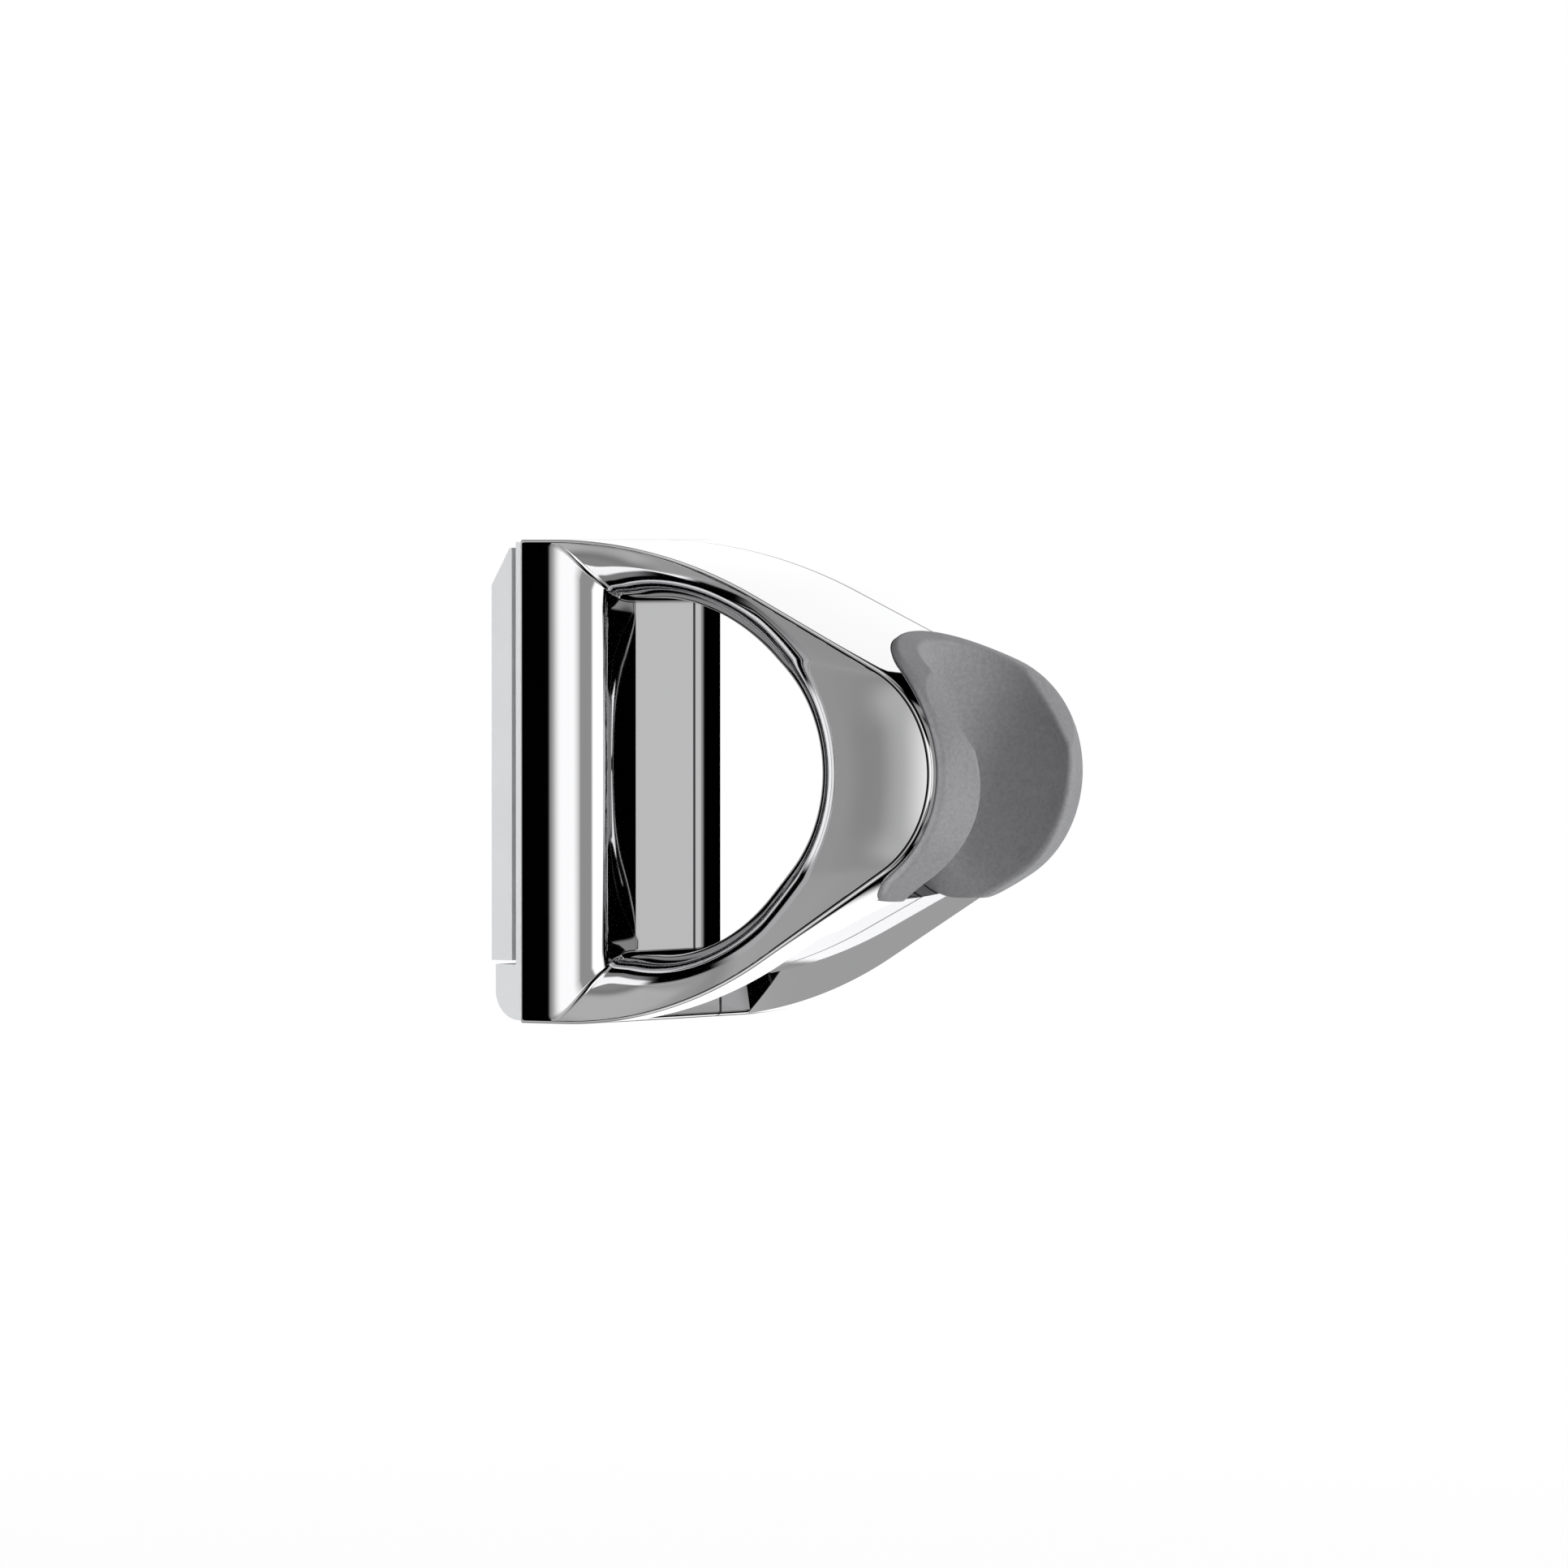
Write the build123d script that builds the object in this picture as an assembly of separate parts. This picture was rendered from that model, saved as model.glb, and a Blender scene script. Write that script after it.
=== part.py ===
from build123d import *
import os
from math import asin, atan2, cos, hypot, radians, sin, sqrt, tan

# Hand shower holder for a wall: a chrome loop shaped like a D with a grey C-shaped socket at its nose.
# Millimetres. The wall is the plane X = 0, +X points out of the wall and +Z up.
# The origin is the middle of the wall face.

# Body loop, seen from the side: a straight back, two shoulders and one round nose
body_width = 34.0
body_back_x = 4.4
body_top_z = 29.8
body_bottom_z = -29.8
shoulder_top_x = 25.0
shoulder_bottom_x = 26.5
shoulder_run = 15.6
nose_radius = 14.2
nose_z = 1.5
body_reach = 64.4
nose_crown = 3.6

# Opening of the loop: a straight neck in the middle that flares to a mouth on each side.
# The bar at the back is rounded like a quarter ellipse, the arms and the nose by a power curve.
neck_width = 14.7
neck_back_x = 15.2
neck_top_z = 22.6
neck_bottom_z = -21.4
neck_shoulder_x = 30.0
neck_shoulder_run = 10.4
neck_nose_radius = 18.0
neck_nose_z = 1.3
nose_depth = 20.8
mouth_back_x = 8.6
mouth_rim = 0.4
mouth_nose_rim = 0.9
flare_power = 2.6

# Socket: a slightly tapered bore that leans away from the wall and breaks out at the front
bore_setback = 1.8
bore_lean_deg = 12.0
bore_radius = 10.7
bore_taper = 0.068
bore_edge_radius = 0.6
insert_radius = 16.2
insert_forward = 1.2
insert_bottom_z = -14.2
insert_foot_radius = 3.6
insert_arch_radius = 9.0
insert_arch_height = 6.0
insert_proud = 0.8
insert_edge_radius = 0.8
lead_in_reach = 2.5
lead_in_z = 4.4
lead_in_deg = 33.0
insert_clearance = 0.12
key_width = 8.0
key_depth = 1.6
key_height = 12.0

# Recess under the lower arm: it keeps the casting's walls even and runs out towards the nose
groove_width = 25.0
groove_depth = 4.6
groove_nose_depth = 0.9
groove_start_x = 19.1
groove_edge_radius = 0.6
groove_draft_deg = 14.0

# Hollow at the back of the body, with two screw bosses
cavity_wall_side = 4.5
cavity_floor_x = 12.4
cavity_height = 47.0
boss_diameter = 7.0
boss_spacing = 15.0
screw_z = -4.0

# Foot: a thin flange with a lip below the wall plate, and a plug that fits the hollow
foot_flange = 0.8
foot_inset = 0.3
foot_plug_depth = 2.2
foot_clearance = 0.15
lip_wall_gap = 0.6
lip_top_z = -22.6
lip_corner_radius = 3.6

# Wall plate with an upper hook and a lower tongue
plate_thickness = 3.0
plate_top_z = 28.8
plate_bottom_z = -22.1
plate_slope_height = 4.6
plate_slope_depth = 2.7
wall_hole_diameter = 4.5
wall_hole_head = 8.6
wall_hole_spacing = 25.0
wall_hole_mid_z = -1.5
tongue_width = 12.0
tongue_thickness = 3.0
tongue_reach = 11.2
tongue_clearance = 0.25
hook_top_z = 19.0
hook_lip_height = 1.6
hook_lip_clearance = 0.3
lower_tongue_z = -20.4

# Screws
screw_diameter = 2.9
screw_head_diameter = 5.4
screw_length = 8.2
screw_pilot = 2.4
screw_head_deg = 90.0
drive_length = 2.8
drive_width = 0.7
drive_depth = 1.1
grub_diameter = 4.0
grub_length = 7.0
grub_x = 9.0
grub_hex = 2.0
grub_hex_depth = 2.2

half_width = body_width / 2
half_neck = neck_width / 2
flare_depth = half_width - half_neck
bore_axis_x = body_reach - bore_setback
foot_face_x = body_back_x - foot_flange
foot_plug_x = body_back_x + foot_plug_depth
rounded_share = 0.97
beyond = 5.0


def loop_outline(y, back_x, top_z, bottom_z, top_x, bottom_x, run, tip_radius, tip_z, reach):
    """Side outline at depth y: straight back, rounded shoulders at top_x and bottom_x, round tip.

    The rounding of a shoulder starts and ends at the distance run from its corner, where the
    straights beside it are long enough.
    """
    tip_x = reach - tip_radius
    top_gap = hypot(tip_x - top_x, tip_z - top_z)
    bottom_gap = hypot(tip_x - bottom_x, tip_z - bottom_z)
    fall = atan2(top_z - tip_z, tip_x - top_x) - asin(tip_radius / top_gap)
    rise = atan2(tip_z - bottom_z, tip_x - bottom_x) - asin(tip_radius / bottom_gap)
    top_straight = min(top_x - back_x, sqrt(top_gap**2 - tip_radius**2))
    bottom_straight = min(bottom_x - back_x, sqrt(bottom_gap**2 - tip_radius**2))
    top_run = min(run, rounded_share * top_straight)
    bottom_run = min(run, rounded_share * bottom_straight)
    corner_reach = tip_radius / sin((fall + rise) / 2)
    corner_turn = (rise - fall) / 2
    corner = (tip_x + corner_reach * cos(corner_turn), tip_z + corner_reach * sin(corner_turn))
    front = FilletPolyline(
        (back_x, top_z),
        (top_x, top_z),
        corner,
        (bottom_x, bottom_z),
        (back_x, bottom_z),
        radius=[top_run / tan(fall / 2), tip_radius, bottom_run / tan(rise / 2)],
    )
    back = Line((back_x, bottom_z), (back_x, top_z))
    return Plane.XZ.offset(-y) * make_face([*front.edges(), back])


def crowned_loop(width, proud=0.0):
    """Outer form of the loop: the side outline carried across the width, with the nose crowned."""
    half = width / 2
    sections = []
    for y in (-half, 0.0, half):
        crown = nose_crown * (1 - (y / half_width) ** 2)
        sections.append(
            loop_outline(
                y,
                body_back_x,
                body_top_z + proud,
                body_bottom_z - proud,
                shoulder_top_x,
                shoulder_bottom_x,
                shoulder_run,
                nose_radius + proud,
                nose_z,
                body_reach + crown + proud,
            )
        )
    return loft(sections)


def opening_outline(y):
    """Outline of the loop's opening at depth y, between the neck and the mouth."""
    outward = (abs(y) - half_neck) / flare_depth
    bar_round = 1 - sqrt(1 - outward**2)
    widening = outward**flare_power

    def between(neck, mouth):
        return neck + (mouth - neck) * widening

    return loop_outline(
        y,
        neck_back_x + (mouth_back_x - neck_back_x) * bar_round,
        between(neck_top_z, body_top_z - mouth_rim),
        between(neck_bottom_z, body_bottom_z + mouth_rim),
        between(neck_shoulder_x, shoulder_top_x),
        between(neck_shoulder_x, shoulder_bottom_x),
        between(neck_shoulder_run, shoulder_run),
        between(neck_nose_radius, nose_radius - mouth_nose_rim),
        between(neck_nose_z, nose_z),
        between(body_reach - nose_depth, body_reach - mouth_nose_rim),
    )


def along_bore(shape):
    """Places a shape that was drawn about +Z on the leaning axis of the bore."""
    return Pos(bore_axis_x, 0, 0) * Rot(0, bore_lean_deg, 0) * shape


def insert_space(clearance):
    """Space that the insert takes in the nose: a round back with a key, a rounded foot, an open front."""
    radius = insert_radius + clearance
    tall = body_top_z - body_bottom_z
    space = Cylinder(radius, tall)
    space += Pos(body_reach / 2, 0, 0) * Box(body_reach, 2 * radius, tall)
    key = Box(2 * (key_depth + clearance), key_width + 2 * clearance, key_height + 2 * clearance)
    space += Pos(-radius, 0, 0) * key
    space = Pos(insert_forward, 0, 0) * space
    ledge_z = insert_bottom_z - clearance
    below = Pos(bore_axis_x, 0, ledge_z - tall / 2) * Box(2 * body_reach, 2 * body_width, tall)
    space = along_bore(space) - below
    foot_edges = space.faces().sort_by(Axis.Z)[0].edges().sort_by(Axis.X)[:-1]
    return fillet(foot_edges, insert_foot_radius + clearance)


def border(faces):
    """Edges around a patch of faces: those that belong to only one of them."""
    edges = [edge for face in faces for edge in face.edges()]
    return [edge for edge in edges if sum(edge.is_same(other) for other in edges) == 1]


# Body: outer form, less the opening, the nose's socket space, the recess below and the hollow back
body = crowned_loop(body_width)

flare_angles = (0, 15, 30, 45, 60, 75, 90)
flare = loft([opening_outline(half_neck + flare_depth * sin(radians(angle))) for angle in flare_angles])
neck = extrude(opening_outline(half_neck), amount=neck_width)
body -= neck
body -= flare
body -= mirror(flare, Plane.XZ)
body -= insert_space(insert_clearance)

groove_half = groove_width / 2
groove_slope = tan(radians(groove_draft_deg))
arm_sections = []
for y, depth, depth_at_nose in (
    (-groove_half - beyond * groove_slope, -beyond, -beyond),
    (-groove_half + groove_depth * groove_slope, groove_depth, groove_nose_depth),
    (groove_half - groove_depth * groove_slope, groove_depth, groove_nose_depth),
    (groove_half + beyond * groove_slope, -beyond, -beyond),
):
    arm_sections.append(
        loop_outline(
            y,
            body_back_x,
            body_top_z,
            body_bottom_z + depth,
            shoulder_top_x,
            shoulder_bottom_x,
            shoulder_run,
            nose_radius - depth_at_nose,
            nose_z,
            body_reach - depth_at_nose,
        )
    )
recess = Box(
    body_reach + beyond - groove_start_x,
    2 * (groove_half + beyond * groove_slope),
    insert_bottom_z - body_bottom_z + 2 * beyond,
    align=(Align.MIN, Align.CENTER, Align.MIN),
)
recess = Pos(groove_start_x, 0, body_bottom_z - beyond) * recess
body -= recess - loft(arm_sections, ruled=True)
recess_corner = (groove_start_x, 0, body_bottom_z)
body = fillet(body.edges().sort_by_distance(recess_corner)[0], groove_edge_radius)

cavity_width = body_width - 2 * cavity_wall_side
cavity_depth = cavity_floor_x - body_back_x
cavity = Pos(body_back_x + cavity_depth / 2, 0, 0) * Box(cavity_depth, cavity_width, cavity_height)
body -= cavity

screw_places = [(y, screw_z) for y in (-boss_spacing / 2, boss_spacing / 2)]
boss_length = cavity_floor_x - foot_plug_x
for y, z in screw_places:
    boss = Rot(0, 90, 0) * Cylinder(boss_diameter / 2, boss_length)
    pilot = Rot(0, 90, 0) * Cylinder(screw_pilot / 2, boss_length)
    centre = Pos(foot_plug_x + boss_length / 2, y, z)
    body += centre * boss
    body -= centre * pilot

grub_wall = -cavity_height / 2 - body_bottom_z
grub_hole = Cylinder(grub_diameter / 2, grub_wall + beyond)
body -= Pos(grub_x, 0, body_bottom_z + grub_wall / 2) * grub_hole

# Insert: the nose's form within its space, bored for the cone of the hand shower.
# An arch at its foot leaves two lugs that stand on the ledge of the body.
bore_height = 2 * body_top_z
bore = Cone(
    bore_radius - bore_taper * body_top_z,
    bore_radius + bore_taper * body_top_z,
    bore_height,
)
insert = crowned_loop(2 * insert_radius, insert_proud) & insert_space(0.0)
nose_faces = [face for face in insert.faces().filter_by(GeomType.BSPLINE) if face.normal_at().X > 0]
insert = fillet(border(nose_faces), insert_edge_radius)
insert -= along_bore(bore)
lead_in = Box(
    body_reach,
    body_width,
    2 * body_reach,
    align=(Align.MIN, Align.CENTER, Align.CENTER),
)
insert -= Pos(body_reach + lead_in_reach, 0, lead_in_z) * Rot(0, -lead_in_deg, 0) * lead_in
bore_face = insert.faces().filter_by(GeomType.CONE)[0]
insert = fillet(bore_face.edges(), bore_edge_radius)
arch_z = insert_bottom_z + insert_arch_height - insert_arch_radius
insert -= Pos(bore_axis_x, 0, arch_z) * Rot(0, 90, 0) * Cylinder(insert_arch_radius, 2 * body_reach)

# Foot: flange and lip in one moulding, with a plug that fits the hollow of the body
foot_half = half_width - foot_inset
flange_side = Polyline(
    (body_back_x, body_top_z - foot_inset),
    (foot_face_x, body_top_z - foot_inset),
    (foot_face_x, lip_top_z),
    (lip_wall_gap, lip_top_z),
    (lip_wall_gap, body_bottom_z + foot_inset),
    (body_back_x, body_bottom_z + foot_inset),
    close=True,
)
foot = extrude(Plane.XZ * make_face(flange_side), amount=foot_half, both=True)
lip_corner = (lip_wall_gap, 0, body_bottom_z + foot_inset)
foot = fillet(foot.edges().filter_by(Axis.Y).sort_by_distance(lip_corner)[0], lip_corner_radius)
plug = Box(
    foot_plug_depth,
    cavity_width - 2 * foot_clearance,
    cavity_height - 2 * foot_clearance,
)
foot += Pos(body_back_x + foot_plug_depth / 2, 0, 0) * plug

# Plate: flat moulding on the wall, with the hook and the tongue that the body hangs on
plate_height = plate_top_z - plate_bottom_z
plate_mid_z = (plate_top_z + plate_bottom_z) / 2
plate = Pos(plate_thickness / 2, 0, plate_mid_z) * Box(plate_thickness, 2 * foot_half, plate_height)
plate_corner = (0, 0, plate_top_z)
plate_edge = plate.edges().filter_by(Axis.Y).sort_by_distance(plate_corner)[0]
plate = chamfer(plate_edge, plate_slope_height, plate_slope_depth)
tongue_length = tongue_reach - plate_thickness
tongue_mid_x = plate_thickness + tongue_length / 2
for top_z in (hook_top_z, lower_tongue_z + tongue_thickness):
    tongue = Box(tongue_length, tongue_width, tongue_thickness)
    plate += Pos(tongue_mid_x, 0, top_z - tongue_thickness / 2) * tongue
lip_start_x = foot_plug_x + hook_lip_clearance
hook_lip = Box(tongue_reach - lip_start_x, tongue_width, hook_lip_height)
plate += Pos((tongue_reach + lip_start_x) / 2, 0, hook_top_z + hook_lip_height / 2) * hook_lip
for side in (-1, 1):
    hole_z = wall_hole_mid_z + side * wall_hole_spacing / 2
    hole = CounterSinkHole(wall_hole_diameter / 2, wall_hole_head / 2, 2 * plate_thickness, screw_head_deg)
    plate -= Pos(plate_thickness, 0, hole_z) * Rot(0, 90, 0) * hole

# Windows of the foot for hook and tongue, tall enough for the hook's lip to pass
window_width = tongue_width + 2 * tongue_clearance
window_length = 2 * (foot_plug_x - foot_face_x)
hook_bottom_z = hook_top_z - tongue_thickness
for top_z, bottom_z in (
    (hook_top_z + tongue_clearance, hook_bottom_z - hook_lip_height - tongue_clearance),
    (lower_tongue_z + tongue_thickness + tongue_clearance, lower_tongue_z - tongue_clearance),
):
    window = Box(window_length, window_width, top_z - bottom_z)
    foot -= Pos(foot_plug_x - window_length / 4, 0, (top_z + bottom_z) / 2) * window
for y, z in screw_places:
    hole = CounterSinkHole(screw_diameter / 2, screw_head_diameter / 2, window_length, screw_head_deg)
    foot -= Pos(foot_face_x, y, z) * Rot(0, -90, 0) * hole

# Screws: two countersunk ones through the foot, one set screw through the bottom of the body
screws = []
for y, z in screw_places:
    screw = Cylinder(screw_pilot / 2, screw_length, align=(Align.CENTER, Align.CENTER, Align.MIN))
    head_height = (screw_head_diameter - screw_pilot) / 2 / tan(radians(screw_head_deg / 2))
    head = Cone(
        screw_head_diameter / 2,
        screw_pilot / 2,
        head_height,
        align=(Align.CENTER, Align.CENTER, Align.MIN),
    )
    screw += head
    for slot_size in ((drive_length, drive_width), (drive_width, drive_length)):
        screw -= Box(*slot_size, 2 * drive_depth)
    screws.append(Pos(foot_face_x, y, z) * Rot(0, 90, 0) * screw)
grub = Cylinder(grub_diameter / 2, grub_length, align=(Align.CENTER, Align.CENTER, Align.MAX))
grub_top_z = lower_tongue_z
grub_hex_cut = extrude(RegularPolygon(grub_hex / 2, 6, major_radius=False), grub_hex_depth)
grub -= Pos(0, 0, -grub_length) * grub_hex_cut
grub = Pos(grub_x, 0, grub_top_z) * grub

os.makedirs("parts", exist_ok=True)
for name, shape in (
    ("body_shell", body),
    ("socket_insert", insert),
    ("back_foot", foot),
    ("wall_bracket", plate),
    ("foot_screws", Compound(children=screws)),
    ("grub_screw", grub),
):
    export_step(shape, f"parts/{name}.step")
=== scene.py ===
from math import asin, atan2, cos, hypot, pi, radians, sin, sqrt, tan

import bmesh
import bpy
from mathutils import Matrix, Vector
from mathutils.bvhtree import BVHTree
from mathutils.interpolate import poly_3d_calc


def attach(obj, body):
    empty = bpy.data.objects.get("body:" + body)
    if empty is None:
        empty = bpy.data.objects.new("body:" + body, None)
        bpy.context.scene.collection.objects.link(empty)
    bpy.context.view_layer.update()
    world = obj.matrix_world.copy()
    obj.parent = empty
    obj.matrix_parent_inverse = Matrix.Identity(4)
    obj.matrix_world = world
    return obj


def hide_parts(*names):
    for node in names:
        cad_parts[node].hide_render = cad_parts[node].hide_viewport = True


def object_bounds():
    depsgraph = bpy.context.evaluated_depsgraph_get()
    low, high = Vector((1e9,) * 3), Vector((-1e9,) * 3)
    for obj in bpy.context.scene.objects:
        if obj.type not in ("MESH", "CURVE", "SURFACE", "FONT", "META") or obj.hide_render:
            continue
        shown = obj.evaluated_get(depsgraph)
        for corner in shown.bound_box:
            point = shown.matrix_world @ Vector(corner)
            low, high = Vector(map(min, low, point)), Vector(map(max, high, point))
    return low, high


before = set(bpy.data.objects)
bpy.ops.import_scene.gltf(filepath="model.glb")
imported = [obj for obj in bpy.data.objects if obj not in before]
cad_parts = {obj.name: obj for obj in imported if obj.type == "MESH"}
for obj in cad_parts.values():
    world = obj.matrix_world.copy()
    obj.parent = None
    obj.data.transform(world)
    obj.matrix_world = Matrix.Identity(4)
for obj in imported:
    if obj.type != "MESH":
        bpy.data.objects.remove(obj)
cad_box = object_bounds()

# Wall plate
# The flat moulding that is screwed to the wall and carries the holder on a hook and a tongue.
# Light grey ABS with the fine satin of its mould; only its near edge shows beside the body.
mm = 0.001
plate_dark = (0.66, 0.67, 0.68)
plate_light = (0.72, 0.73, 0.74)
satin_size = 0.18 * mm
satin_depth = 0.006 * mm
satin_roughness = (0.36, 0.48)
cloud_size = 9 * mm
cloud_share = 0.7
plastic_ior = 1.5


class Shade:
    """One output of a node: arithmetic on it adds Math nodes, and node() adds any other node."""

    def __init__(self, tree, socket=None):
        self.tree = tree
        self.socket = socket

    def node(self, kind, settings, sockets, output=0):
        made = self.tree.nodes.new(kind)
        for name, value in settings.items():
            setattr(made, name, value)
        for key, value in sockets.items():
            if isinstance(value, Shade):
                self.tree.links.new(value.socket, made.inputs[key])
            else:
                made.inputs[key].default_value = value
        return Shade(self.tree, made.outputs[output] if made.outputs else None)

    def maths(self, operation, first, second=0.0):
        return self.node("ShaderNodeMath", {"operation": operation}, {0: first, 1: second})

    def __add__(self, other):
        return self.maths("ADD", self, other)

    def __sub__(self, other):
        return self.maths("SUBTRACT", self, other)

    def __rsub__(self, other):
        return self.maths("SUBTRACT", other, self)

    def __mul__(self, other):
        return self.maths("MULTIPLY", self, other)

    __radd__ = __add__
    __rmul__ = __mul__

    def rising(self, low, high):
        """0 below low, 1 above high and a soft step between."""
        ends = {"Value": self, "From Min": low, "From Max": high}
        return self.node("ShaderNodeMapRange", {"interpolation_type": "SMOOTHSTEP"}, ends)

    def between(self, low, high):
        """low where this is 0, high where it is 1."""
        return low + (high - low) * self


def new_material(name):
    """An empty material, with the handle that adds its nodes and its Object coordinates."""
    material = bpy.data.materials.new(name)
    material.use_nodes = True
    material.node_tree.nodes.clear()
    sheet = Shade(material.node_tree)
    place = sheet.node("ShaderNodeTexCoord", {}, {}, "Object")
    return material, sheet, place


def grain(sheet, place, size, detail=2.0):
    """Noise from 0 to 1 with spots of about that size."""
    sockets = {"Vector": place, "Scale": 1 / size, "Detail": detail}
    return sheet.node("ShaderNodeTexNoise", {}, sockets)


def finish_surface(sheet, sockets, height, depth):
    """Principled surface with those sockets, and a bump of that depth in metres."""
    bump = sheet.node("ShaderNodeBump", {}, {"Strength": 1.0, "Distance": depth, "Height": height})
    surface = sheet.node("ShaderNodeBsdfPrincipled", {}, {**sockets, "Normal": bump})
    sheet.node("ShaderNodeOutputMaterial", {}, {"Surface": surface})


def blend_colours(sheet, mask, plain, marked):
    """Plain colour where the mask is 0 and marked colour where it is 1, by a Mix node's colour sockets."""
    factor, first, second, result = 0, 6, 7, 2
    sockets = {factor: mask, first: (*plain, 1), second: (*marked, 1)}
    return sheet.node("ShaderNodeMix", {"data_type": "RGBA"}, sockets, result)


def light_plastic(name, dark, light):
    """Satin of a light grey moulding: faint clouds in the colour and a fine grain in the gloss."""
    material, sheet, place = new_material(name)
    clouds = grain(sheet, place, cloud_size)
    fine = grain(sheet, place, satin_size)
    shades = cloud_share * clouds + (1 - cloud_share) * fine
    sockets = {
        "Base Color": blend_colours(sheet, shades, dark, light),
        "Roughness": fine.between(*satin_roughness),
        "IOR": plastic_ior,
    }
    finish_surface(sheet, sockets, fine, satin_depth)
    return material


def dress(node, material):
    """Gives a CAD node its material in place of the plain one."""
    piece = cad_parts[node]
    piece.data.materials.clear()
    piece.data.materials.append(material)


dress("wall_bracket", light_plastic("wall_plate_plastic", plate_dark, plate_light))

# Body
# The D-shaped loop that the hand shower hangs on: one zinc casting, polished and chrome plated.
# Its edges are broken by the polishing, and a fine parting line of the die runs round it.
body_back = 4.4 * mm
body_top = 29.8 * mm
body_bottom = -29.8 * mm
body_half = 17.0 * mm
body_edge = 0.3 * mm
shoulder_top = 25.0 * mm
shoulder_bottom = 26.5 * mm
shoulder_run = 15.6 * mm
nose_radius = 14.2 * mm
nose_height = 1.5 * mm
body_reach = 64.4 * mm
nose_crown = 3.6 * mm
neck_half = 7.35 * mm
neck_back = 15.2 * mm
neck_top = 22.6 * mm
neck_bottom = -21.4 * mm
neck_shoulder = 30.0 * mm
neck_run = 10.4 * mm
neck_radius = 18.0 * mm
neck_height = 1.3 * mm
neck_reach = 43.6 * mm
mouth_back = 8.6 * mm
mouth_rim = 0.4 * mm
mouth_nose_rim = 0.6 * mm
bar_facet_share = 0.578
bar_facet_fall = 0.78 * mm
bar_facet_power = 1.2
bar_bulge = 8.93 * mm
bar_edge_softness = 0.25 * mm
opening_corner = 0.6 * mm
flare_power = 2.6
rounded_share = 0.97

# Steps along the five arcs of an outline, and along the straight that follows each
arc_steps = (48, 64, 48, 8, 8)
straight_steps = (16, 16, 20, 40, 20)


def loop_outline(back, top, bottom, top_x, bottom_x, run, tip_radius, tip_z, reach, corner):
    """Side outline as (x, z) points: five arcs, from the upper shoulder over the tip and round the back.

    Straights join the arcs, and every outline has the same number of points.
    """
    tip_x = reach - tip_radius
    top_gap = hypot(tip_x - top_x, tip_z - top)
    bottom_gap = hypot(tip_x - bottom_x, tip_z - bottom)
    fall = atan2(top - tip_z, tip_x - top_x) - asin(tip_radius / top_gap)
    rise = atan2(tip_z - bottom, tip_x - bottom_x) - asin(tip_radius / bottom_gap)
    top_straight = min(top_x - back - corner, sqrt(top_gap**2 - tip_radius**2))
    bottom_straight = min(bottom_x - back - corner, sqrt(bottom_gap**2 - tip_radius**2))
    top_run = min(run, rounded_share * top_straight)
    bottom_run = min(run, rounded_share * bottom_straight)
    top_radius = top_run / tan(fall / 2)
    bottom_radius = bottom_run / tan(rise / 2)
    arcs = (
        (top_x - top_run, top - top_radius, top_radius, 0.0, fall),
        (tip_x, tip_z, tip_radius, fall, pi - rise),
        (bottom_x - bottom_run, bottom + bottom_radius, bottom_radius, pi - rise, pi),
        (back + corner, bottom + corner, corner, pi, 1.5 * pi),
        (back + corner, top - corner, corner, 1.5 * pi, 2 * pi),
    )

    def on_arc(arc, share):
        x, z, radius, start, end = arc
        bearing = start + (end - start) * share
        return Vector((x + radius * sin(bearing), z + radius * cos(bearing)))

    points = []
    for place, arc in enumerate(arcs):
        steps = arc_steps[place]
        points += [on_arc(arc, step / steps) for step in range(steps + 1)]
        start = points[-1]
        end = on_arc(arcs[(place + 1) % len(arcs)], 0.0)
        steps = straight_steps[place]
        points += [start.lerp(end, step / steps) for step in range(1, steps)]
    return points


def outer_outline(y, inset):
    """Outline of the outer form at depth y, moved in by inset, with the nose crowned."""
    crown = nose_crown * (1 - (y / body_half) ** 2)
    return loop_outline(
        body_back + inset,
        body_top - inset,
        body_bottom + inset,
        shoulder_top,
        shoulder_bottom,
        shoulder_run,
        nose_radius - inset,
        nose_height,
        body_reach + crown - inset,
        body_edge,
    )


def opening_outline(outward):
    """Outline of the opening, from the neck, where outward is 0, to the mouth, where it is 1.

    The bar at the back is a nearly flat facet beside the neck and a round bulge towards the mouth.
    """
    facet = neck_back - bar_facet_fall * (outward / bar_facet_share) ** bar_facet_power
    bulge = mouth_back + bar_bulge * sqrt(1 - min(1.0, outward))
    bar = (facet + bulge - hypot(facet - bulge, bar_edge_softness)) / 2
    widening = outward**flare_power

    def between(neck, mouth):
        return neck + (mouth - neck) * widening

    return loop_outline(
        bar,
        between(neck_top, body_top - mouth_rim),
        between(neck_bottom, body_bottom + mouth_rim),
        between(neck_shoulder, shoulder_top),
        between(neck_shoulder, shoulder_bottom),
        between(neck_run, shoulder_run),
        between(neck_radius, nose_radius - mouth_nose_rim),
        between(neck_height, nose_height),
        between(neck_reach, body_reach - mouth_nose_rim),
        opening_corner,
    )


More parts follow.
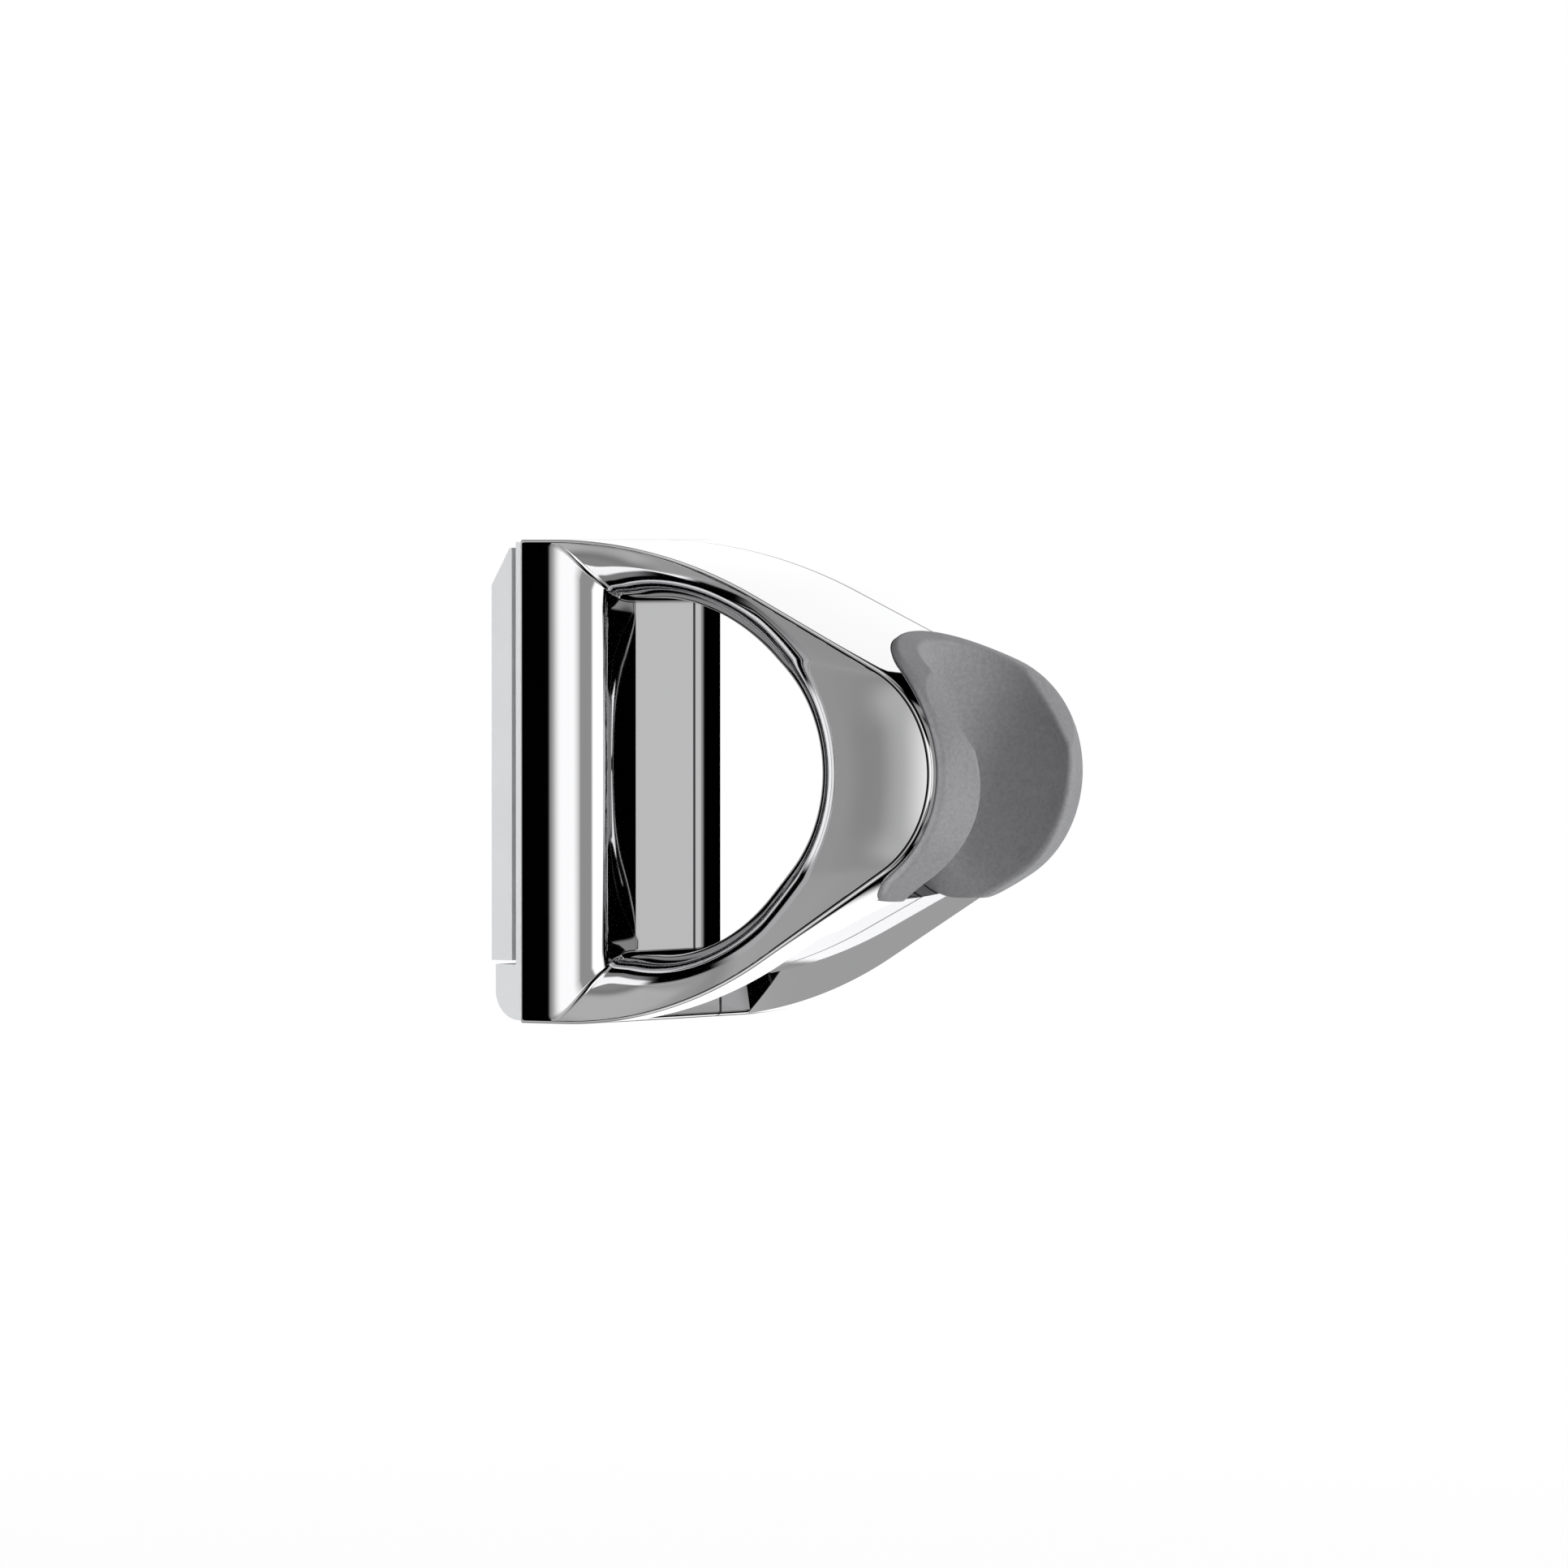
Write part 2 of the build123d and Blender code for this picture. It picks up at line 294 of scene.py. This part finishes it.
def body_rings():
    """Rings round the loop as (y, outline), over the outside and back through the opening."""
    outer_rows, edge_rows, land_rows, flare_rows, neck_rows = 48, 6, 6, 56, 16
    straight = body_half - body_edge
    flare_depth = body_half - neck_half
    outside = []
    for row in range(outer_rows + 1):
        y = straight * (2 * row / outer_rows - 1)
        outside.append((y, outer_outline(y, 0.0)))
    far = []
    for row in range(1, edge_rows + 1):
        turn = radians(90 * row / edge_rows)
        y = straight + body_edge * sin(turn)
        far.append((y, outer_outline(y, body_edge * (1 - cos(turn)))))
    rim = far[-1][1]
    mouth = opening_outline(1.0)
    for row in range(1, land_rows + 1):
        far.append((body_half, [a.lerp(b, row / land_rows) for a, b in zip(rim, mouth)]))
    for row in range(1, flare_rows + 1):
        outward = cos(radians(90 * row / flare_rows))
        far.append((neck_half + flare_depth * outward, opening_outline(outward)))
    neck = opening_outline(0.0)
    inside = []
    for row in range(1, neck_rows):
        inside.append((neck_half * (1 - 2 * row / neck_rows), neck))
    near = [(-y, outline) for y, outline in reversed(far)]
    return outside + far + inside + near


def mesh_piece(name, points, faces):
    """A new object from points and faces, with its faces turned outwards."""
    mesh = bpy.data.meshes.new(name)
    mesh.from_pydata(points, [], faces)
    shape = bmesh.new()
    shape.from_mesh(mesh)
    bmesh.ops.recalc_face_normals(shape, faces=shape.faces)
    shape.to_mesh(mesh)
    shape.free()
    piece = bpy.data.objects.new(name, mesh)
    bpy.context.scene.collection.objects.link(piece)
    return piece


def stack(name, rows):
    """A closed form through rows of points, one above the other, with as many points in each."""
    count = len(rows[0])
    points = [point for row in rows for point in row]
    last = len(points) - 1
    faces = [list(range(count)), list(range(last, last - count, -1))]
    for start in range(0, last + 1 - count, count):
        for place in range(count):
            after = (place + 1) % count
            faces.append((start + place, start + after, start + count + after, start + count + place))
    return mesh_piece(name, points, faces)


def prism(name, outline, low, high):
    """A prism between two places: low and high turn a point of the outline into its two ends."""
    return stack(name, [[low(point) for point in outline], [high(point) for point in outline]])


def combine(piece, other, operation):
    """Cuts another piece out of this one, or adds it, and removes the other."""
    cut = piece.modifiers.new("combine", "BOOLEAN")
    cut.operation = operation
    cut.solver = "EXACT"
    cut.object = other
    evaluated = piece.evaluated_get(bpy.context.evaluated_depsgraph_get())
    mesh = bpy.data.meshes.new_from_object(evaluated)
    piece.modifiers.remove(cut)
    piece.data = mesh
    bpy.data.objects.remove(other)


rings = body_rings()
columns = len(rings[0][1])
body_points = [(x, y, z) for y, outline in rings for x, z in outline]
body_faces = []
for ring in range(len(rings)):
    this_row = ring * columns
    next_row = (ring + 1) % len(rings) * columns
    for column in range(columns):
        beside = (column + 1) % columns
        body_faces.append((this_row + column, this_row + beside, next_row + beside, next_row + column))
body = mesh_piece("body_casting", body_points, body_faces)
whole = body.data.copy()

# Socket space in the nose, with a rounded foot and the slot for the insert's key
bore_x = 62.6 * mm
bore_lean = radians(12)
space_radius = 16.32 * mm
space_forward = 1.2 * mm
ledge_z = -14.32 * mm
space_foot = 3.72 * mm
slot_depth = 1.72 * mm
slot_half = 4.12 * mm
slot_tall = 6.12 * mm
space_steps = 96
foot_rows = 12
on_bore = Matrix.Translation((bore_x, 0, 0)) @ Matrix.Rotation(bore_lean, 4, "Y")
bore_axis = on_bore.to_3x3() @ Vector((0, 0, 1))
down = Vector((0, 0, -1))


def space_column(forward, outward):
    """Points up one side of the socket space: round its foot, as a ball would roll, then up the wall."""
    ball = on_bore @ (Vector((forward, 0, 0)) + outward * (space_radius - space_foot))
    ball += bore_axis * (ledge_z + space_foot - ball.z) / bore_axis.z
    wall = on_bore.to_3x3() @ outward
    column = [ball + space_foot * down.slerp(wall, row / foot_rows) for row in range(foot_rows + 1)]
    column.append(column[-1] + bore_axis * (body_top - body_bottom))
    return column


space_columns = [space_column(space_forward + body_reach, Vector((0, side, 0))) for side in (-1, 1)]
for step in range(space_steps + 1):
    turn = radians(90 + 180 * step / space_steps)
    space_columns.append(space_column(space_forward, Vector((cos(turn), sin(turn), 0))))
combine(body, stack("socket_space", list(zip(*space_columns))), "DIFFERENCE")


def rectangle(left, right, low, high):
    """Corners of a rectangle, in order."""
    return [(left, low), (right, low), (right, high), (left, high)]


slot_back = space_forward - space_radius - slot_depth
slot_front = slot_back + 2 * slot_depth
key_slot = prism(
    "key_slot",
    rectangle(slot_back, slot_front, -slot_half, slot_half),
    lambda point: on_bore @ Vector((*point, -slot_tall)),
    lambda point: on_bore @ Vector((*point, slot_tall)),
)
combine(body, key_slot, "DIFFERENCE")

# Recess under the lower arm, with sloping sides and a rounded edge at its start
recess_half = 12.5 * mm
recess_depth = 4.6 * mm
recess_nose_depth = 0.9 * mm
recess_start = 19.1 * mm
recess_edge = 0.6 * mm
recess_slope = tan(radians(14))
beyond = 5.0 * mm
edge_steps = 12

# The recess follows the outline from three quarters round the nose to most of the way along the lower arm
nose_first = arc_steps[0] + straight_steps[0]
lower_straight = sum(arc_steps[:3]) + sum(straight_steps[:2])
recess_first = nose_first + 3 * arc_steps[1] // 4
recess_last = lower_straight + 7 * straight_steps[2] // 10


def recess_row(y, depth, depth_at_nose):
    """Section of the recess at y: everything below the arm's outline moved in by depth."""
    outline = loop_outline(
        body_back,
        body_top,
        body_bottom + depth,
        shoulder_top,
        shoulder_bottom,
        shoulder_run,
        nose_radius - depth_at_nose,
        nose_height,
        body_reach - depth_at_nose,
        body_edge,
    )
    roof = [(p.x, y, p.y) for p in outline[recess_first:recess_last]]
    low = body_bottom - 2 * beyond
    return roof + [(roof[-1][0], y, low), (roof[0][0], y, low)]


recess_rows = []
for side in (-1, 1):
    outer_row = recess_row(side * (recess_half + beyond * recess_slope), -beyond, -beyond)
    roof_y = side * (recess_half - recess_depth * recess_slope)
    roof_row = recess_row(roof_y, recess_depth, recess_nose_depth)
    recess_rows += [outer_row, roof_row] if side < 0 else [roof_row, outer_row]
recess = stack("recess", recess_rows)

edge_x = recess_start - recess_edge
underside = [p for p in outer_outline(body_half, 0.0) if p.y < 0]
edge_z = min(underside, key=lambda p: abs(p.x - edge_x)).y
start_outline = [(0.0, body_top), (recess_start, body_top)]
for step in range(edge_steps + 1):
    turn = radians(90 * step / edge_steps)
    start_outline.append((edge_x + recess_edge * cos(turn), edge_z + recess_edge * (1 - sin(turn))))
start_low = body_bottom - 3 * beyond
start_outline += [(edge_x, start_low), (0.0, start_low)]
start_block = prism(
    "recess_start",
    start_outline,
    lambda point: Vector((point[0], -body_half, point[1])),
    lambda point: Vector((point[0], body_half, point[1])),
)
combine(recess, start_block, "DIFFERENCE")
combine(body, recess, "DIFFERENCE")

# Hollow at the back, with two screw bosses, and the hole for the grub screw
hollow_floor = 12.4 * mm
hollow_half = 12.5 * mm
hollow_tall = 23.5 * mm
boss_start = 6.6 * mm
boss_radius = 3.5 * mm
boss_bore = 1.2 * mm
boss_half = 7.5 * mm
boss_z = -4.0 * mm
grub_x = 9.0 * mm
grub_radius = 2.0 * mm


def circle(y, z, radius, steps=48):
    """Points of a circle about (y, z)."""
    turns = [2 * pi * step / steps for step in range(steps)]
    return [(y + radius * cos(turn), z + radius * sin(turn)) for turn in turns]


def along_x(name, outline, start, end):
    """A prism along X of an outline in Y and Z."""
    return prism(
        name,
        outline,
        lambda point: Vector((start, *point)),
        lambda point: Vector((end, *point)),
    )


hollow_outline = rectangle(-hollow_half, hollow_half, -hollow_tall, hollow_tall)
combine(body, along_x("hollow", hollow_outline, body_back - beyond, hollow_floor), "DIFFERENCE")
for side in (-1, 1):
    boss_y = side * boss_half
    boss = along_x("boss", circle(boss_y, boss_z, boss_radius), boss_start, hollow_floor + body_edge)
    combine(body, boss, "UNION")
    pilot = along_x("pilot", circle(boss_y, boss_z, boss_bore), boss_start - beyond, hollow_floor)
    combine(body, pilot, "DIFFERENCE")
grub_hole = prism(
    "grub_hole",
    circle(grub_x, 0.0, grub_radius),
    lambda point: Vector((*point, body_bottom - beyond)),
    lambda point: Vector((*point, beyond - hollow_tall)),
)
combine(body, grub_hole, "DIFFERENCE")

# Polish: the cuts leave the shine of the faces beside them as it was
crease = radians(25)
same_surface = 0.01 * mm


def keep_polish(piece, uncut):
    """Takes the normals of the uncut form wherever the cuts left its surface, so no cut shows in it."""
    piece.data.set_sharp_from_angle(angle=crease)
    for face in piece.data.polygons:
        face.use_smooth = True
    tree = BVHTree.FromPolygons([v.co for v in uncut.vertices], [p.vertices for p in uncut.polygons])
    normals = [corner.vector.copy() for corner in piece.data.corner_normals]
    for face in piece.data.polygons:
        for corner in face.loop_indices:
            spot = piece.data.vertices[piece.data.loops[corner].vertex_index].co
            found, normal, index, distance = tree.find_nearest(spot)
            if distance > same_surface or normal.dot(face.normal) < cos(crease):
                continue
            corners = [uncut.vertices[vertex] for vertex in uncut.polygons[index].vertices]
            weights = poly_3d_calc([vertex.co for vertex in corners], found)
            polish = Vector((0, 0, 0))
            for vertex, weight in zip(corners, weights):
                polish += vertex.normal * weight
            normals[corner] = polish.normalized()
    piece.data.normals_split_custom_set(normals)


keep_polish(body, whole)

# Chrome, with the parting line as a fine darker band along one depth
chrome_colour = (0.82, 0.82, 0.83)
chrome_roughness = (0.025, 0.045)
haze_size = 3 * mm
haze_detail = 4.0
haze_height = 0.1
parting_y = 5.7 * mm
parting_core = 0.14 * mm
parting_edge = 0.36 * mm
parting_depth = 0.004 * mm
parting_colour = (0.12, 0.12, 0.13)
parting_roughness = 0.25


def chrome_plate():
    """Mirror chrome: a faint waviness and haze from polishing, and the parting line of the die."""
    material, sheet, place = new_material("polished_chrome")
    beside = sheet.node("ShaderNodeSeparateXYZ", {}, {"Vector": place}, "Y") - parting_y
    line = 1 - sheet.maths("ABSOLUTE", beside).rising(parting_core, parting_edge)
    haze = grain(sheet, place, haze_size, haze_detail)
    sockets = {
        "Base Color": blend_colours(sheet, line, chrome_colour, parting_colour),
        "Roughness": haze.between(*chrome_roughness) + parting_roughness * line,
        "Metallic": 1.0,
    }
    finish_surface(sheet, sockets, haze * haze_height - line, parting_depth)
    return material


body.data.materials.clear()
body.data.materials.append(chrome_plate())
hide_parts("body_shell")
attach(body, "root")

# Socket insert
# The C-shaped cup that takes the cone of the hand shower, pushed into the nose and held by a key.
# Grey moulded plastic with a fine spark-eroded matt, which keeps the cone from slipping and scratching.
socket_dark = (0.22, 0.22, 0.235)
socket_light = (0.5, 0.5, 0.515)
socket_roughness = (0.48, 0.68)
socket_cloud_size = 6 * mm
speckle_size = 0.45 * mm
speckle_detail = 3.0
speckle_share = 0.7
speckle_depth = 0.02 * mm


def matt_plastic():
    """Dark speckle in a mid grey, with a fine matt bump."""
    material, sheet, place = new_material("socket_plastic")
    speckle = grain(sheet, place, speckle_size, speckle_detail)
    clouds = grain(sheet, place, socket_cloud_size)
    shades = speckle_share * speckle + (1 - speckle_share) * clouds
    sockets = {
        "Base Color": blend_colours(sheet, shades, socket_dark, socket_light),
        "Roughness": speckle.between(*socket_roughness),
        "IOR": plastic_ior,
    }
    finish_surface(sheet, sockets, speckle, speckle_depth)
    return material


dress("socket_insert", matt_plastic())

# Foot
# The moulding that closes the hollow back of the body, with a lip that reaches to the wall below the plate.
# The same light grey ABS as the plate, screwed into the body's bosses.
foot_dark = (0.68, 0.69, 0.7)
foot_light = (0.74, 0.75, 0.76)
dress("back_foot", light_plastic("foot_plastic", foot_dark, foot_light))

# Screws
# Two countersunk screws hold the foot, and a set screw from below locks the holder on the plate.
# Zinc-plated steel, turned and rolled; they sit inside and hardly show.
zinc_dark = (0.5, 0.51, 0.53)
zinc_light = (0.62, 0.63, 0.65)
zinc_roughness = (0.24, 0.44)
zinc_cloud_size = 0.5 * mm
zinc_cloud_detail = 4.0
zinc_depth = 0.005 * mm


def zinc_steel(name):
    """Bright zinc plate, a little cloudy in its colour and its gloss."""
    material, sheet, place = new_material(name)
    clouds = grain(sheet, place, zinc_cloud_size, zinc_cloud_detail)
    sockets = {
        "Base Color": blend_colours(sheet, clouds, zinc_dark, zinc_light),
        "Roughness": clouds.between(*zinc_roughness),
        "Metallic": 1.0,
    }
    finish_surface(sheet, sockets, clouds, zinc_depth)
    return material


screw_steel = zinc_steel("screw_steel")
dress("foot_screws", screw_steel)
dress("grub_screw", screw_steel)

# Floor
# A wide pale sheet well below the holder, which is made for a wall and doesn't stand on it.
# It glows a little, as a light table does, and sends soft light up under the arms.
floor_z = -120 * mm
floor_half = 6.0
floor_grey = (0.8, 0.8, 0.8, 1)
floor_glow = 0.3
white_light = (1, 1, 1, 1)
shadow_share = 0.04
shadow_fades = (0.25, 0.6)
floor_corners = rectangle(-floor_half, floor_half, -floor_half, floor_half)
floor = mesh_piece("floor", [(x, y, floor_z) for x, y in floor_corners], [(0, 1, 2, 3)])


def pale_floor():
    """White to the eye, with a trace of shadow; mirrors look past it to the cards below."""
    material, sheet, place = new_material("pale_floor")
    seen = sheet.node("ShaderNodeLightPath", {}, {}, "Is Camera Ray")
    mirrored = sheet.node("ShaderNodeLightPath", {}, {}, "Is Glossy Ray")
    paper = sheet.node("ShaderNodeBsdfDiffuse", {}, {"Color": floor_grey})
    glow = sheet.node("ShaderNodeEmission", {}, {"Color": white_light, "Strength": floor_glow})
    matt = sheet.node("ShaderNodeAddShader", {}, {0: paper, 1: glow})
    white = sheet.node("ShaderNodeEmission", {}, {"Color": white_light, "Strength": 1.0})
    clear = sheet.node("ShaderNodeBsdfTransparent", {}, {})
    away = sheet.node("ShaderNodeVectorMath", {"operation": "LENGTH"}, {0: place}, "Value")
    shaded = shadow_share * (1 - away.rising(*shadow_fades))
    surface = sheet.node("ShaderNodeMixShader", {}, {0: seen * (1 - shaded), 1: matt, 2: white})
    surface = sheet.node("ShaderNodeMixShader", {}, {0: mirrored, 1: surface, 2: clear})
    sheet.node("ShaderNodeOutputMaterial", {}, {"Surface": surface})
    return material


floor.data.materials.append(pale_floor())

# Studio
# Light and dark cards stand round the holder, as for any mirror-bright part, and only its gloss sees them.
# The eye sees plain white, and three soft lamps light what isn't metal.
room_light = 0.12


def twins(start, end, low, high, *light):
    """A card above the level, and the same one mirrored below it."""
    return (start, end, low, high, *light), (start, end, -high, -low, *light)


# Each card has its bearings from and to, its heights from and to, all in degrees, its brightness, and the
# softness of its sides and of its edges. A later card stands in front of an earlier one.
# Bearings end at 180, behind the holder, so a card that runs past that has no soft side there.
cards = (
    # Grey room behind, above and below, for the sides that the photo doesn't show
    (-140, -97, -100, 100, 0.3, 5, 3),
    *twins(30, 190, 68, 100, 0.4, 6, 3),
    *twins(-190, -97, 68, 100, 0.4, 6, 3),
    *twins(113, 158, 19, 30, 0.3, 4, 2),
    # Greys in the flare of the two arms
    (-97, 20, 4.5, 33, 0.55, 6, 2.5),
    (-97, 20, -33, -6.5, 0.55, 6, 2.5),
    *twins(-97, -20, 33, 48, 0.37, 6, 4),
    *twins(-78, -40, 38, 47.5, 0.5, 4, 1.5),
    *twins(-97, 30, 48, 64, 0.27, 6, 3),
    # White where the arms meet the bar, and grey on the far side of the recess
    *twins(-45, 2, 47.5, 66, 1.3, 5, 1.5),
    (-36, -8, -66, -41, 1.3, 3, 1.5),
    (-34, -14, -38, -25, 0.4, 3, 2),
    *twins(-97, 30, 66, 100, 0.4, 6, 3),
    # Shaded side of the nose, with a bright crescent beside the insert
    (-97, -44, -10, 10, 0.3, 4, 4),
    (-97, -64, -38, 32, 0.34, 8, 14),
    (-68, -60, -34, 28, 0.28, 7, 12),
    (-58, -48, -30, 30, 0.5, 3, 12),
    (-53.5, -46, -14, 14, 1.25, 3, 12),
    # White, grey and white bands along the bar, and its black facet
    (-28, 20, -18, 18, 0.3, 5.5, 4),
    (-6, 80, -18, 18, 1.18, 19, 4),
    (44, 56, -18, 18, 0.6, 7, 4),
    (49, 66, -18, 18, 0.32, 2, 4),
    (65, 93, -18, 18, 1.25, 2, 4),
    (93, 110, -45, 45, 0.33, 3, 4),
    *twins(104, 126, 42, 52, 0.3, 3, 4),
    (113, 141, -18, 18, 0.0, 1, 4),
    # Flat of the bar inside the opening, and the end wall of the recess
    (141, 151, -14, 14, 0.6, 1, 4),
    (141, 151, -14, -3.5, 0.38, 1, 1),
    (41, 60, -34, -20, 0.5, 1.5, 2),
    (151, 158, -14, 14, 0.3, 2, 4),
    # White on the long top and under the lower arm
    (-172, -144, 1.5, 46, 1.12, 2, 1),
    (-171, -144, -44, -6, 1.2, 2, 2),
)


def studio_cards():
    """World light by direction: bearings run from -Y towards +X, and heights from the level."""
    world = bpy.data.worlds.new("studio")
    bpy.context.scene.world = world
    world.use_nodes = True
    world.node_tree.nodes.clear()
    sheet = Shade(world.node_tree)
    ray = sheet.node("ShaderNodeTexCoord", {}, {}, "Generated")
    x = sheet.node("ShaderNodeSeparateXYZ", {}, {"Vector": ray}, "X")
    y = sheet.node("ShaderNodeSeparateXYZ", {}, {"Vector": ray}, "Y")
    z = sheet.node("ShaderNodeSeparateXYZ", {}, {"Vector": ray}, "Z")
    degree = 180 / pi
    bearing = x.maths("ARCTAN2", x, y * -1.0) * degree
    height = z.maths("ARCSINE", z) * degree
    level = None
    for start, end, low, high, bright, side, edge in cards:
        across = bearing.rising(start - side, start + side) * (1 - bearing.rising(end - side, end + side))
        upright = height.rising(low - edge, low + edge) * (1 - height.rising(high - edge, high + edge))
        card = across * upright
        level = card * bright if level is None else level + card * (bright - level)
    seen = sheet.node("ShaderNodeLightPath", {}, {}, "Is Camera Ray")
    mirrored = sheet.node("ShaderNodeLightPath", {}, {}, "Is Glossy Ray")
    room = sheet.node("ShaderNodeBackground", {}, {"Color": white_light, "Strength": room_light})
    cards_light = sheet.node("ShaderNodeBackground", {}, {"Color": level, "Strength": 1.0})
    white = sheet.node("ShaderNodeBackground", {}, {"Color": white_light, "Strength": 1.0})
    light = sheet.node("ShaderNodeMixShader", {}, {0: mirrored, 1: room, 2: cards_light})
    light = sheet.node("ShaderNodeMixShader", {}, {0: seen, 1: light, 2: white})
    sheet.node("ShaderNodeOutputWorld", {}, {"Surface": light})


studio_cards()


def soft_lamp(name, place, aim, size, watts):
    """A square soft lamp that the chrome doesn't mirror."""
    lamp = bpy.data.lights.new(name, "AREA")
    lamp.size = size
    lamp.energy = watts
    lamp_object = bpy.data.objects.new(name, lamp)
    lamp_object.location = place
    lamp_object.rotation_euler = (Vector(aim) - Vector(place)).to_track_quat("-Z", "Y").to_euler()
    lamp_object.visible_glossy = False
    bpy.context.scene.collection.objects.link(lamp_object)


# Each lamp has its place from the middle of the holder, the length of its side, and its watts
lamps = {
    "front_lamp": ((-0.63, -0.9, -0.06), 0.45, 13.0),
    "side_lamp": ((0.82, 0.3, 0.23), 0.4, 4.6),
    "top_lamp": ((-0.1, 0.45, 1.0), 0.8, 1.5),
}
middle = (cad_box[0] + cad_box[1]) / 2
for name, (offset, size, watts) in lamps.items():
    soft_lamp(name, middle + Vector(offset), middle, size, watts)

# Camera
# A long lens almost level with the holder, turned about a third of a right angle off its side.
# Its square frame is as wide as the photo's at the holder's size.
view_bearing = radians(33)
view_rise = 0.02
view_distance = 1.5
view_aim = Vector((32.2, 0, -0.3)) * mm
frame_width = 193.2 * mm
camera = bpy.data.cameras.new("camera")
camera.sensor_width = 36
camera.lens = camera.sensor_width * view_distance / frame_width
camera_object = bpy.data.objects.new("camera", camera)
outlook = Vector((sin(view_bearing), -cos(view_bearing), view_rise)).normalized()
camera_object.location = view_aim + outlook * view_distance
camera_object.rotation_euler = outlook.to_track_quat("Z", "Y").to_euler()
bpy.context.scene.collection.objects.link(camera_object)
bpy.context.scene.camera = camera_object
bpy.context.scene.view_settings.view_transform = "Standard"

bpy.context.view_layer.update()
